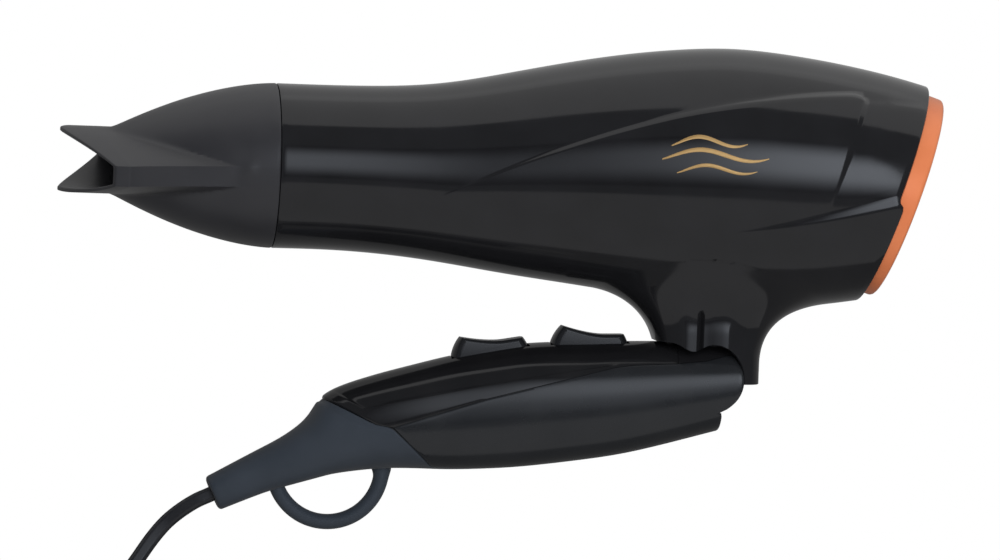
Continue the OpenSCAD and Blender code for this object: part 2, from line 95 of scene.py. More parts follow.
def power(v, e):
    return math.copysign(abs(v) ** e, v)


def bell(v, centre, width):
    return math.exp(-((v - centre) / width) ** 2)


def sin_d(a):
    return math.sin(math.radians(a))


def cos_d(a):
    return math.cos(math.radians(a))


def spread(a, b, n):
    """n + 1 even steps from a to b."""
    return [mix(a, b, i / n) for i in range(n + 1)]


def find(f, low, high):
    """Where f, which is below zero at low and above it at high, crosses zero."""
    for _ in range(30):
        middle = (low + high) / 2
        if f(middle) < 0:
            low = middle
        else:
            high = middle
    return (low + high) / 2


class Profile:
    """Smooth curves through rows of [v, values...], eased so that reflections run without kinks."""

    def __init__(self, rows, step, passes):
        self.v0, self.step = rows[0][0], step
        count = round((rows[-1][0] - rows[0][0]) / step)
        table = [self.through(rows, rows[0][0] + i * step) for i in range(count + 1)]
        for _ in range(passes):
            inner = [[(a + 2 * b + c) / 4 for a, b, c in zip(*table[i - 1:i + 2])] for i in range(1, count)]
            table = [table[0], *inner, table[-1]]
        self.table = table

    @staticmethod
    def through(rows, v):
        i = max(j for j in range(len(rows) - 1) if j == 0 or rows[j][0] <= v)
        a, b = rows[i], rows[i + 1]
        before, after = rows[max(i - 1, 0)], rows[min(i + 2, len(rows) - 1)]
        gap = b[0] - a[0]
        t = (v - a[0]) / gap
        made = []
        for k in range(1, len(a)):
            leave = (b[k] - before[k]) / (b[0] - before[0]) * gap
            arrive = (after[k] - a[k]) / (after[0] - a[0]) * gap
            made.append((1 + 2 * t) * (1 - t) ** 2 * a[k] + t * (1 - t) ** 2 * leave
                        + t * t * (3 - 2 * t) * b[k] - t * t * (1 - t) * arrive)
        return made

    def __call__(self, v):
        u = (v - self.v0) / self.step
        last = len(self.table) - 1
        i = int(clamp(math.floor(u), 0, last - 1))
        t = u - i
        p0, p1, p2, p3 = (self.table[int(clamp(j, 0, last))] for j in (i - 1, i, i + 1, i + 2))
        if t > 1 or t < 0:
            return [mix(b, c, t) for b, c in zip(p1, p2)]
        return [(2 * b + (c - a) * t + (2 * a - 5 * b + 4 * c - d) * t * t
                 + (3 * b - a - 3 * c + d) * t ** 3) / 2 for a, b, c, d in zip(p0, p1, p2, p3)]


# ---------- camera ----------

CENTRE = (76.4, -35.3, 0)   # the dryer's point in the middle of the picture
DISTANCE = 7.0              # metres from that point to the camera
VIEW_WIDTH = 0.3303         # metres across the picture there
TILT_FRONT = 6.0            # degrees that the camera stands towards the nozzle
TILT_TOP = 2.5              # and towards the top of the dryer
LEAN = 1.9                  # degrees that the barrel slopes down to the right

to_camera = (AXIS_Z - math.tan(math.radians(TILT_FRONT)) * AXIS_X
             + math.tan(math.radians(TILT_TOP)) * AXIS_Y).normalized()
right = cos_d(LEAN) * AXIS_X + sin_d(LEAN) * AXIS_Y
right = (right - right.dot(to_camera) * to_camera).normalized()
up = to_camera.cross(right)


def in_view(r, u, t):
    """A place given along the picture's right and up and towards the camera, in metres from its middle."""
    return at(CENTRE) + r * right + u * up + t * to_camera


def facing(x_axis, y_axis, place):
    """Matrix that puts an object's X and Y along two directions, at a place."""
    z_axis = x_axis.cross(y_axis)
    m = Matrix((x_axis, y_axis, z_axis)).transposed().to_4x4()
    m.translation = place
    return m


def add_camera():
    camera = bpy.data.objects.new("camera", bpy.data.cameras.new("camera"))
    bpy.context.scene.collection.objects.link(camera)
    camera.data.sensor_width = 36
    camera.data.lens = camera.data.sensor_width * DISTANCE / VIEW_WIDTH
    camera.data.clip_start, camera.data.clip_end = 1, 60
    camera.matrix_world = facing(right, up, in_view(0, 0, DISTANCE))
    bpy.context.scene.camera = camera


add_camera()

# ---------- materials ----------


def new_material(name):
    material = bpy.data.materials.new(name)
    material.use_nodes = True
    tree = material.node_tree
    return material, tree, tree.nodes["Principled BSDF"]


def empty_material(name):
    material, tree, _ = new_material(name)
    tree.nodes.clear()
    return material, tree


def add_node(tree, kind, inputs):
    """A shader node; each input that is named gets a value, or a link from another node's output."""
    node = tree.nodes.new(kind)
    for name, value in inputs.items():
        if isinstance(value, bpy.types.NodeSocket):
            tree.links.new(value, node.inputs[name])
        else:
            node.inputs[name].default_value = value
    return node


def noise(tree, scale, detail):
    """Noise in metres of the object's own space; scale is how many grains fit in a millimetre."""
    place = tree.nodes.new("ShaderNodeTexCoord")
    grain = add_node(tree, "ShaderNodeTexNoise", {"Scale": scale / MM, "Detail": detail,
                                                  "Vector": place.outputs["Object"]})
    return grain.outputs["Fac"]


def span(tree, value, low, high, start=0.3, end=0.7, ease="LINEAR"):
    """Maps a value from start..end to low..high; the defaults suit noise."""
    node = add_node(tree, "ShaderNodeMapRange", {"Value": value, "From Min": start, "From Max": end,
                                                 "To Min": low, "To Max": high})
    node.interpolation_type = ease
    return node.outputs["Result"]


def tint(tree, value, dark, light):
    node = tree.nodes.new("ShaderNodeMix")
    node.data_type = "RGBA"
    node.inputs["A"].default_value = (*dark, 1)
    node.inputs["B"].default_value = (*light, 1)
    tree.links.new(span(tree, value, 0, 1), node.inputs["Factor"])
    return node.outputs["Result"]


def bump(tree, shader, layers):
    """Stacks bumps of (height value, depth in millimetres)."""
    previous = None
    for value, depth in layers:
        node = add_node(tree, "ShaderNodeBump", {"Strength": 1, "Distance": depth * MM, "Height": value})
        if previous:
            tree.links.new(previous, node.inputs["Normal"])
        previous = node.outputs["Normal"]
    tree.links.new(previous, shader.inputs["Normal"])


LOOKS = {}


def plastic(name, dark, light, rough, grain, depth, specular=0.5, metal=0.0, sheen=0.0):
    """Moulded material: two close colours, roughness from rough[0] to rough[1], and a fine grain."""
    material, tree, shader = new_material(name)
    cloud = noise(tree, 0.06, 4)
    fine = noise(tree, grain, 2)
    tree.links.new(tint(tree, cloud, dark, light), shader.inputs["Base Color"])
    tree.links.new(span(tree, cloud, *rough), shader.inputs["Roughness"])
    shader.inputs["Specular IOR Level"].default_value = specular
    shader.inputs["Metallic"].default_value = metal
    shader.inputs["Sheen Weight"].default_value = sheen
    bump(tree, shader, [(cloud, 0.004 if rough[0] < 0.2 else 0.01), (fine, depth)])
    LOOKS[name] = material


plastic("gloss_black", (0.0085, 0.0085, 0.0095), (0.011, 0.011, 0.0125), (0.085, 0.12), 0.8, 0.0004)
plastic("cover_black", (0.007, 0.007, 0.008), (0.0095, 0.0095, 0.0105), (0.09, 0.14), 0.8, 0.0005)
plastic("grip_black", (0.011, 0.012, 0.014), (0.014, 0.015, 0.017), (0.16, 0.22), 2.5, 0.003)
plastic("rocker_black", (0.008, 0.0085, 0.01), (0.0105, 0.011, 0.0125), (0.2, 0.27), 2.5, 0.002)
plastic("satin_black", (0.019, 0.019, 0.022), (0.025, 0.025, 0.028), (0.36, 0.44), 2.5, 0.006)
plastic("copper_trim", (0.7, 0.19, 0.068), (0.78, 0.235, 0.095), (0.3, 0.42), 3, 0.006, specular=0.4,
        metal=0.15)
plastic("boot_rubber", (0.021, 0.027, 0.036), (0.029, 0.036, 0.047), (0.5, 0.6), 3, 0.012,
        specular=0.42, sheen=0.08)
plastic("inner_plastic", (0.018, 0.018, 0.02), (0.026, 0.026, 0.028), (0.4, 0.52), 2, 0.01)
plastic("filter_mesh", (0.14, 0.14, 0.15), (0.22, 0.22, 0.23), (0.5, 0.65), 4, 0.02)
plastic("mica", (0.42, 0.33, 0.17), (0.56, 0.46, 0.26), (0.3, 0.5), 1.2, 0.02)
plastic("heating_metal", (0.3, 0.27, 0.24), (0.45, 0.42, 0.38), (0.35, 0.5), 2, 0.01, metal=1)
plastic("steel", (0.5, 0.51, 0.52), (0.62, 0.63, 0.64), (0.22, 0.36), 3, 0.006, metal=1)
plastic("diode_black", (0.015, 0.015, 0.017), (0.022, 0.022, 0.025), (0.25, 0.35), 2, 0.004)
plastic("lead_insulation", (0.03, 0.08, 0.34), (0.045, 0.11, 0.42), (0.3, 0.4), 2, 0.004)
plastic("capacitor_yellow", (0.55, 0.36, 0.04), (0.64, 0.44, 0.06), (0.25, 0.35), 2, 0.004)
plastic("cord_pvc", (0.0085, 0.009, 0.011), (0.013, 0.0135, 0.016), (0.3, 0.42), 2, 0.008)
plastic("tie_black", (0.02, 0.02, 0.022), (0.03, 0.03, 0.032), (0.4, 0.5), 2, 0.008)
plastic("pin_nickel", (0.6, 0.58, 0.52), (0.7, 0.68, 0.62), (0.14, 0.24), 3, 0.003, metal=1)
plastic("mark_gold", (0.5, 0.31, 0.12), (0.62, 0.4, 0.17), (0.3, 0.42), 4, 0.003, metal=0.55)

# ---------- making pieces ----------


def add_mesh(name, points, faces, look, body, replaces=(), sharp=38, place=at):
    """A smooth-shaded piece that rides on a body and takes the place of CAD nodes.

    Edges that turn by more than sharp degrees stay hard."""
    mesh = bpy.data.meshes.new(name)
    mesh.from_pydata([place(p) for p in points], [], faces)
    mesh.validate()
    mesh.update()
    mesh.shade_smooth()
    mesh.set_sharp_from_angle(angle=math.radians(sharp))
    piece = bpy.data.objects.new(name, mesh)
    bpy.context.scene.collection.objects.link(piece)
    mesh.materials.append(LOOKS[look])
    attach(piece, body)
    if replaces:
        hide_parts(*replaces)
    return piece


class Skin:
    """Points and faces gathered from grids of points."""

    def __init__(self):
        self.points, self.faces = [], []

    def grid(self, rows, closed=False, flip=False):
        """Joins equal rows of points with four-sided faces."""
        start, n = len(self.points), len(rows[0])
        for row in rows:
            self.points += [Vector(p) for p in row]
        for i in range(len(rows) - 1):
            for j in range(n if closed else n - 1):
                a, b = start + i * n + j, start + i * n + (j + 1) % n
                face = (a, b, b + n, a + n)
                self.faces.append(face[::-1] if flip else face)

    def mirrored(self):
        """The same skin on the other side of the dryer."""
        other = Skin()
        other.points = [Vector((p[0], p[1], -p[2])) for p in self.points]
        other.faces = [f[::-1] for f in self.faces]
        return other

    def add(self, other):
        start = len(self.points)
        self.points += other.points
        self.faces += [tuple(start + i for i in f) for f in other.faces]


# ---------- cord, coil and plug ----------

CORD_D = 5.0
CORD_THICK = 4.1            # the cord is a little flatter than it is wide
FLOOR_Z = 2.6               # height of the cord's middle where it lies on the floor
# The cord's way from the boot to the coil, in the frame's own millimetres
CORD_ROUTE = [(-89.2, -69.5, 8.2), (-94, -71.7, 7.4), (-99, -74.8, 5.6), (-104, -79, 3.8),
              (-108.5, -84.5, 2.8), (-112.5, -90.5, 2.6), (-116.7, -96.8, 2.6), (-120.9, -103.1, 2.6),
              (-125.1, -109.4, 2.6), (-129.3, -115.7, 2.6)]
COIL_CENTRE = (-100, -144)
COIL_R = 40.0               # outermost turn
COIL_START = 146.6          # degrees round the coil where the cord joins it
STEP = 120                  # degrees that a step to the next turn takes
STEPS = 4                   # steps in, and as many out again


def steps_taken(gone, start):
    """How many steps the cord has taken at gone degrees, when one begins in each turn from start on."""
    return sum(ramp(gone, start + 360 * k, start + 360 * k + STEP) for k in range(STEPS))


def coil_points():
    """The cord winds in along the floor, climbs by its own width, and winds out until it meets the plug."""
    first = 360 - STEP      # degrees of travel before the first step in
    climb = first + 360 * STEPS - STEP
    outward = climb + 300   # and before the first step out
    end = 9 * 360 + 270 - COIL_START
    points = []
    for gone in spread(0, end, 420):
        r = COIL_R - CORD_D * (steps_taken(gone, first) - steps_taken(gone, outward))
        a = COIL_START + gone
        points.append((COIL_CENTRE[0] + r * cos_d(a), COIL_CENTRE[1] + r * sin_d(a),
                       FLOOR_Z + CORD_D * ramp(gone, climb, climb + STEP)))
    return points


def eased(points, rounds=2):
    """A denser line through the points, by cubic steps."""
    for _ in range(rounds):
        made = [points[0]]
        for i in range(len(points) - 1):
            a, b = Vector(points[i]), Vector(points[i + 1])
            before = Vector(points[max(i - 1, 0)])
            after = Vector(points[min(i + 2, len(points) - 1)])
            made += [(9 * (a + b) - before - after) / 16 if 0 < i < len(points) - 2 else (a + b) / 2, b]
        points = made
    return [Vector(p) for p in points]


def cord_section(n=20):
    """Two cores side by side under one jacket: a shallow groove runs along the top and the bottom."""
    made = []
    for j in range(n):
        a = 360 * j / n
        wide, thick = CORD_D / 2 * power(cos_d(a), 0.8), CORD_THICK / 2 * power(sin_d(a), 0.8)
        made.append((wide, thick * (1 - 0.2 * bell(wide, 0, 0.5))))
    return made


def add_cord():
    """The cord in one piece, from the boot through the coil to the plug; returns it and its path."""
    low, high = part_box("plug_body")
    plug_start = Vector((low.x, (low.y + high.y) / 2, (low.z + high.z) / 2)) / MM
    coil = [Vector(p) for p in coil_points()]
    run_out = [Vector((x, coil[-1].y, coil[-1].z)) for x in spread(coil[-1].x + 3, plug_start.x + 3, 7)]
    path = eased(CORD_ROUTE, 2) + coil + run_out
    reach = 30.0            # length over which the cord climbs to the plug
    for p in path[-30:]:
        if p.y < COIL_CENTRE[1]:
            p.z += (plug_start.z - coil[-1].z) * ramp(p.x, plug_start.x - reach, plug_start.x)
    skin = Skin()
    rows = []
    for i, p in enumerate(path):
        ahead = (path[min(i + 1, len(path) - 1)] - path[max(i - 1, 0)]).normalized()
        side = ahead.cross(Vector((0, 0, 1))).normalized()
        top = side.cross(ahead)
        rows.append([p + w * side + t * top for w, t in cord_section()])
    rows = [[mix(path[0], p, 0.02) for p in rows[0]], *rows, [mix(path[-1], p, 0.02) for p in rows[-1]]]
    skin.grid(rows, closed=True)
    return add_mesh("power_lead", skin.points, skin.faces, "cord_pvc", "handle",
                    ["power_cord", "cord_coil"], place=lambda p: MM * Vector(p)), path


def rounded(a, height, width, e):
    """Height and width of a section at a degrees; e is 1 for an oval and less for a squarer one."""
    return height * power(sin_d(a), e), width * power(cos_d(a), e)


def add_plug():
    """Contoured two-pin plug with a ribbed strain relief."""
    low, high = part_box("plug_body")
    centre = (low + high) / 2 / MM
    x0, x1 = low.x / MM, high.x / MM
    relief = x0 + 28
    rows = []

    def ring(x, height, width, e):
        rows.append([(x, centre.y + w, centre.z + h) for h, w in
                     (rounded(360 * j / 48, height, width, e) for j in range(48))])

    ring(x0, 2.7, 2.7, 1)
    for i in range(14):
        x, r = x0 + 0.4 + 2 * i, 3.4 + 2.3 * i / 13
        for dx, dr in ((0, -0.35), (0.25, 0), (1.0, 0), (1.25, -0.35), (1.4, -0.75), (1.85, -0.75)):
            ring(x + dx, r + dr, r + dr, 1)
    shape = [(0, 5.2, 5.6), (0.6, 6.2, 7), (3, 7.4, 8.6), (6, 8.4, 10.6), (10, 9.2, 12.8), (14, 9.8, 14.2),
             (19, 11, 15.9), (24, 12.2, 17.4), (30, 12.55, 17.9), (38, 12.55, 17.9), (40.6, 12.3, 17.6),
             (41.7, 11.4, 16.7), (42, 10.4, 15.6), (42, 0.4, 0.5)]
    for dx, height, width in shape:
        ring(min(relief + dx, x1), height, width, 0.86)
    skin = Skin()
    skin.grid(rows, closed=True, flip=True)
    return add_mesh("mains_plug", skin.points, skin.faces, "cord_pvc", "handle", ["plug_body"],
                    place=lambda p: MM * Vector(p))


lead, lead_path = add_cord()
plug = add_plug()

# ---------- barrel ----------

OUTLET_R = 27.2
WALL = 2.0
# Barrel sections: [x, top, bottom, half width]
BARREL = Profile([
    [0, OUTLET_R, -OUTLET_R, OUTLET_R], [22, OUTLET_R, -OUTLET_R, OUTLET_R], [44, 27.9, -28.6, 28],
    [60, 29.8, -30.6, 29.4], [78, 33.5, -33.2, 31.8], [98, 37.7, -35.6, 34.4], [118, 41.1, -38.1, 36.8],
    [136, 43.1, -40, 38.4], [152, 43.8, -41, 39], [174, 41.8, -41, 38.4], [194, 38.6, -38.2, 37],
    [209, 35.3, -35.4, 35.6], [224, 31, -31.5, 33.6]], 2, 20)
REAR = (204.3, -2.5)        # middle of the slanted rear opening
REAR_SLOPE = math.tan(math.radians(18))
CREASE_X = 182.9            # where the raised side panel steps down, measured at the middle's height


def upper_line(x):
    """Height of the upper sweep line on the side."""
    if x < 189.6:
        return 30.4 - 36.2 * ((189.6 - x) / 133.9) ** 1.8
    return 30.4 - 2 * ramp(x, 189.6, 194) - 0.05 * (x - 189.6)


def lower_line(x):
    """Height of the lower sweep line on the side."""
    if x > 100:
        return -18.4 + 15.6 * ((x - 100) / 104.6) ** 2.15
    return -18.4 + 1.4 * ((100 - x) / 21) ** 2


def line_angle(line_height, x, first):
    """Angle round the barrel of a sweep line at x. Before first it stays as it is there."""
    x = max(x, first)
    top, bottom, _ = BARREL(x)
    share = (line_height(x) - (top + bottom) / 2) / ((top - bottom) / 2)
    return math.degrees(math.asin(clamp(share, -1, 1)))


def sweeps(x):
    """Angles of the two sweep lines at x, and the width of each bevel in degrees."""
    upper, lower = line_angle(upper_line, x, 52), line_angle(lower_line, x, 84)
    per_mm = math.degrees(1 / BARREL(x)[2])
    return (upper, mix(0.5, 3.3, line(x, 56, 186)) * per_mm,
            lower, mix(0.8, 3.0, line(x, 84, 204)) * per_mm)


def skirt_fade(a, lower):
    """The step at the lower line fades out towards the underside."""
    return 1 - ramp(-a, -(lower - 10), 84)


def barrel_point(n, a, inset=0.0, plain=False):
    """The barrel's surface at n along the axis and a degrees round it, from the left side up."""
    y = REAR[1]
    for _ in range(3):
        x = n + REAR_SLOPE * (y - REAR[1]) * ramp(n, 120, 176)
        x += 2.3 * ramp(-y, 3.2, 6.2) * ramp(n, 194, REAR[0]) * (0 if plain else 1)
        top, bottom, half = BARREL(x)
        y = (top + bottom) / 2 + (top - bottom) / 2 * sin_d(a)
    height = (top - bottom) / 2
    out = Vector((0, sin_d(a) / height, cos_d(a) / half)).normalized()
    upper, upper_w, lower, lower_w = sweeps(x)
    mm = half * math.radians(1)
    stand = 0.5 * upper_w * mm * ramp(x, 50, 74) * line(upper - a, -upper_w / 2, upper_w / 2)
    deep = line(upper - a, 0, upper - lower)
    stand *= 1 - ramp(upper - a, upper_w / 2, 1.02 * (upper - lower))
    stand *= mix(1, 0.25, line(n, CREASE_X - 1.3, CREASE_X + mix(1.3, -0.7, deep)))
    skirt = 0.24 * lower_w * mm * ramp(x, 80, 104) * line(lower - a, -lower_w / 2, lower_w / 2)
    stand += skirt * skirt_fade(a, lower)
    return Vector((x, y, half * cos_d(a))) + (stand - inset) * out


def barrel_columns(x):
    """Angles from the top seam to the bottom seam, with edges along the sweep lines."""
    upper, upper_w, lower, lower_w = sweeps(x)
    edges = (0.9, 0.55, 0.45, 0, -0.45, -0.55, -0.9)
    made = [90, 89.75, 89.4] + spread(88.6, upper + 1.4 * upper_w, 40)
    made += [upper + k * upper_w for k in edges]
    made += spread(upper - 1.5 * upper_w, lower + 1.4 * lower_w, 34)
    made += [lower + k * lower_w for k in edges]
    return made + spread(lower - 1.5 * lower_w, -88.6, 30) + [-89.4, -89.75, -90]


def barrel_half():
    """Left half of the barrel's skin, with its lips at the outlet, the rear opening and the seams."""
    stations = [(10, WALL), (0, WALL), (0, 0.4), (0.12, 0.12), (0.4, 0)]
    stations += [(v, 0) for v in spread(2, CREASE_X - 2, 76)]
    stations += [(CREASE_X + v, 0) for v in (-1.4, -1.2, -0.9, -0.6, -0.3, 0, 0.3, 0.6, 0.9, 1.2, 1.4)]
    stations += [(v, 0) for v in spread(CREASE_X + 3, REAR[0] - 0.5, 10)]
    stations += [(REAR[0] - 0.15, 0.1), (REAR[0], 0.4), (REAR[0], WALL), (REAR[0] - 14, WALL)]
    rows = []
    for n, inset in stations:
        row = []
        for a in barrel_columns(barrel_point(n, 0, plain=True).x):
            seam = 0.22 if abs(a) > 89.9 else 0.04 if abs(a) > 89.6 else 0
            row.append(barrel_point(n, a, inset + seam))
        rows.append(row)
    skin = Skin()
    skin.grid(rows)
    return skin


# ---------- neck ----------

NECK_X = 145.9              # middle of the neck, above the pivot
NECK_HALF = (16.9, 18.3)    # half length and half width at its lower end
NECK_E = (0.55, 0.5)        # how square that end is along and across the grip; 1 is round
ROOT_X = 148                # middle of the neck's root on the barrel
PIVOT = own(JOINTS["handle_fold"]["pos_m"])
KNUCKLE_R = 11.6
ARCH_R = 11.95              # the neck's edge over the knuckle
GROOVE_X = 141.6


def neck_edge(x):
    """Height of the neck's lower edge: low behind the knuckle, an arch over it, a shallow dip in front."""
    if x > 156.9:
        return -66.5
    if x > 146:
        return PIVOT.y + math.sqrt(max(0.01, ARCH_R ** 2 - (x - PIVOT.x) ** 2))
    return -53.4 - 2.7 * bell(x, 139.6, 4.0)


def neck_line(turn):
    """One line down the neck, from the barrel to the lower edge; turn is 0 at the front and 180 behind."""
    c, s = cos_d(turn), sin_d(turn)
    start = (ROOT_X - (42 if c > 0 else 49) * c, -90 + 52 * s)
    p0 = barrel_point(*start)
    nudge = barrel_point(mix(start[0], ROOT_X, 0.03), mix(start[1], -90, 0.03))
    along = (nudge - p0).normalized()
    foot = Vector((NECK_X - NECK_HALF[0] * power(c, NECK_E[0]), mix(-60, -47.5, s ** 3),
                   NECK_HALF[1] * power(s, NECK_E[1])))
    handle_0 = p0 + (13 * c * c + 9.5 * s * s) * along
    handle_1 = foot + Vector((0, mix(13, 8, s ** 3), 0))
    points = []
    for i in range(61):
        t = i / 60
        points.append((1 - t) ** 3 * p0 + 3 * t * (1 - t) ** 2 * handle_0
                      + 3 * t * t * (1 - t) * handle_1 + t ** 3 * foot)
    points.append(foot + Vector((0, -20, 0)))
    edge = neck_edge(foot.x)
    last = next(i for i, p in enumerate(points) if p.y < edge)
    a, b = points[last - 1], points[last]
    points = points[:last] + [a.lerp(b, (a.y - edge) / (a.y - b.y))]
    return resampled(points, 34)


def resampled(points, n):
    """n + 1 points at even steps along a line."""
    lengths = [0.0]
    for a, b in zip(points, points[1:]):
        lengths.append(lengths[-1] + (b - a).length)
    made, i = [], 0
    for k in range(n + 1):
        want = lengths[-1] * k / n
        while i < len(points) - 2 and lengths[i + 1] < want:
            i += 1
        gap = max(1e-9, lengths[i + 1] - lengths[i])
        made.append(points[i].lerp(points[i + 1], clamp((want - lengths[i]) / gap)))
    return made


def neck_half():
    """Left half of the neck, with its groove, its two lobes and the lip of its lower edge."""
    groove_turn = math.degrees(math.acos(((NECK_X - GROOVE_X) / NECK_HALF[0]) ** (1 / NECK_E[0])))
    turns = sorted([*spread(0, 74, 30), *spread(74.5, 90, 31), *spread(92, 180, 40), groove_turn])
    lines = []
    for turn in turns:
        out = Vector((-cos_d(turn) / 0.9, 0, sin_d(turn))).normalized()
        made = []
        for p in neck_line(turn):
            low = ramp(-p.y, 42, 43.5)
            groove = -1.7 * clamp(1 - abs(p.x - GROOVE_X) / 1.15) * low
            lobes = 0.9 * (bell(p.x, 136.8, 3.2) + bell(p.x, 149.5, 4.8)) * ramp(-p.y, 38, 50)
            made.append(p + (groove + lobes) * sin_d(turn) * out)
        edge = made[-1]
        lip = [(0.0, 0.12), (0.3, 0.0), (1.2, 0.0), (1.5, 0.3), (1.5, 9)]
        made[-1] = edge + Vector((0, 0.3, 0))
        made += [edge + Vector((0, rise, 0)) - inward * out for inward, rise in lip]
        lines.append(made)
    skin = Skin()
    skin.grid(lines, flip=True)
    return skin


def add_barrel():
    half = barrel_half()
    half.add(neck_half())
    other = half.mirrored()
    add_mesh("barrel_left", half.points, half.faces, "gloss_black", "barrel", ["barrel_shell_left"], 28)
    add_mesh("barrel_right", other.points, other.faces, "gloss_black", "barrel", ["barrel_shell_right"], 28)


add_barrel()

# ---------- mark ----------


def side_point(x, y, rise):
    """A point on the left side panel, given by where it is in side view."""
    top, bottom, _ = BARREL(x)
    a = math.degrees(math.asin((y - (top + bottom) / 2) / ((top - bottom) / 2)))
    n = x - REAR_SLOPE * (y - REAR[1]) * ramp(x, 120, 176)
    return barrel_point(n, a, -rise)


def add_mark():
    """A plain mark of three strokes of moving air, in gold."""
    skin = Skin()
    strokes = [(127.5, 153, 13.2, 1.7, 1.3), (124.5, 160, 8.9, 1.9, 1.5), (129.5, 156, 4.4, 1.5, 1.2)]
    for x0, x1, y, wave, width in strokes:
        rows = []
        for t in spread(0, 1, 40):
            thick = width * math.sin(math.pi * clamp(0.04 + 0.94 * t)) ** 0.6
            middle = y + wave * math.sin(2 * math.pi * (t - 0.1)) + 1.2 * t
            x = mix(x0, x1, t)
            rows.append([side_point(x, middle + k * thick / 2, 0.07 if abs(k) < 1 else 0.02)
                         for k in (-1, -0.8, 0, 0.8, 1)])
        skin.grid(rows, flip=True)
    add_mesh("side_mark", skin.points, skin.faces, "mark_gold", "barrel", sharp=60)


add_mark()

# ---------- rear ring ----------


def rear_place(out, r, a):
    """A point at a radius and angle round the rear opening, that far out of it."""
    y = r * cos_d(a) + 0.8
    return Vector((REAR[0] + out * cos_d(18) + y * sin_d(18), REAR[1] - out * sin_d(18) + y * cos_d(18),
                   r * sin_d(a)))


def add_ring():
    """Copper trim ring: a plain band with a softly rounded rear edge."""
    outline = [(30.4, -3.5), (32.3, -3.5), (32.35, 0.1), (34.1, 0.12), (34.35, 0.35), (34.3, 5.2),
               (34.2, 5.65), (33.95, 6.05), (33.5, 6.35), (32.9, 6.5), (31.2, 6.5), (30.75, 6.35),
               (30.45, 6.05), (30.35, 5.6), (30.35, -3.5)]
    skin = Skin()
    skin.grid([[rear_place(out, r, 360 * j / 160) for j in range(160)] for r, out in outline], closed=True,
              flip=True)
    add_mesh("trim_ring", skin.points, skin.faces, "copper_trim", "barrel", ["rear_trim_ring"])


add_ring()

# ---------- nozzle ----------

NOZZLE_LEN = 71.0
NOZZLE_TURN = 7.0           # degrees that the nozzle is turned about the barrel
MOUTH = (33.0, 10.6)        # half width and half height
NOTCH = 16.2                # how far the mouth's narrow sides lie behind its middle
BAND = 3.35                 # half height of the flat band along each narrow side
DUCT_E = 1.5                # the duct's section: 1 is a rhombus and 2 an oval
DUCT_CUT = 0.8776           # share of that section's half width where the flat band cuts it off


def duct_half(t):
    return mix(24.4, MOUTH[0], line(t, 0.12, 0.86))


def nozzle_point(t, a, inset=0.0, forward=0.0):
    """The nozzle's surface: a dome that a flat duct runs out of. t is 0 at the seam and 1 at the mouth."""
    x = -NOZZLE_LEN * t
    dome = max(2.0, 12.4 + 14.8 * (1 - (t / 0.718) ** 1.72) - inset)
    half = duct_half(t) - inset
    wide, tall = half / DUCT_CUT, MOUTH[1] - inset
    c, s = abs(cos_d(a)), abs(sin_d(a))
    duct = ((c / wide) ** DUCT_E + (s / tall) ** DUCT_E) ** (-1 / DUCT_E)
    duct = min(duct, half / max(c, 1e-6))
    r = (dome + duct + math.sqrt((dome - duct) ** 2 + 0.7)) / 2 if inset == 0 else max(dome, duct)
    # A slight swelling above each flat band, where the duct leaves the dome
    r += 0.55 * bell(t, 0.145, 0.03) * (bell(a, 5.9, 4.5) + bell(a, 174.1, 4.5))
    y, z = r * sin_d(a), r * cos_d(a)
    back = NOTCH * (abs(z) / MOUTH[0]) ** 1.31 * clamp((t - 0.4) / 0.6) ** 1.5
    c, s = cos_d(NOZZLE_TURN), sin_d(NOZZLE_TURN)
    return Vector((x + back - forward, y * c - z * s, y * s + z * c))


def nozzle_angles(t):
    """Angles round the nozzle, with edges along the flat bands."""
    b = math.degrees(math.atan(BAND / duct_half(t)))
    upper = [-b, -b * 0.92, -b / 2, 0, b / 2, b * 0.92, b, b * 1.1]
    upper += [*spread(b * 1.3, 180 - b * 1.3, 70), 180 - b * 1.1]
    return upper + [v + 180 for v in upper]


def add_nozzle():
    """The nozzle's outside, its mouth's lip and its inside, and the collar that fits in the outlet."""
    # Each station: [t, inset, how far it stands forward]
    ends = [(0.0, 1.9, 0), (0.002, 0.4, 0), (0.004, 0.12, 0), (0.009, 0.0, 0)]
    stations = ends + [(t, 0, 0) for t in spread(0.02, 0.985, 64)]
    stations += [(0.997, 0, 0), (1, 0.05, 0.1), (1, 0.2, 0.22), (1, 1.05, 0.25), (1, 1.4, 0),
                 (0.98, 1.6, 0)]
    stations += [(t, 1.8, 0) for t in spread(0.94, 0.02, 26)]
    skin = Skin()
    skin.grid([[nozzle_point(t, a, i, f) for a in nozzle_angles(t)] for t, i, f in stations], closed=True,
              flip=True)
    collar = [(-0.2, 25.3), (-0.2, 23.3), (10.5, 23.3), (10.5, 24.9), (0.2, 24.9)]
    skin.grid([[(x, r * sin_d(4 * j), r * cos_d(4 * j)) for j in range(90)] for x, r in collar],
              closed=True)
    add_mesh("nozzle", skin.points, skin.faces, "satin_black", "nozzle", ["concentrator_nozzle"], 24)


add_nozzle()

# ---------- handle ----------

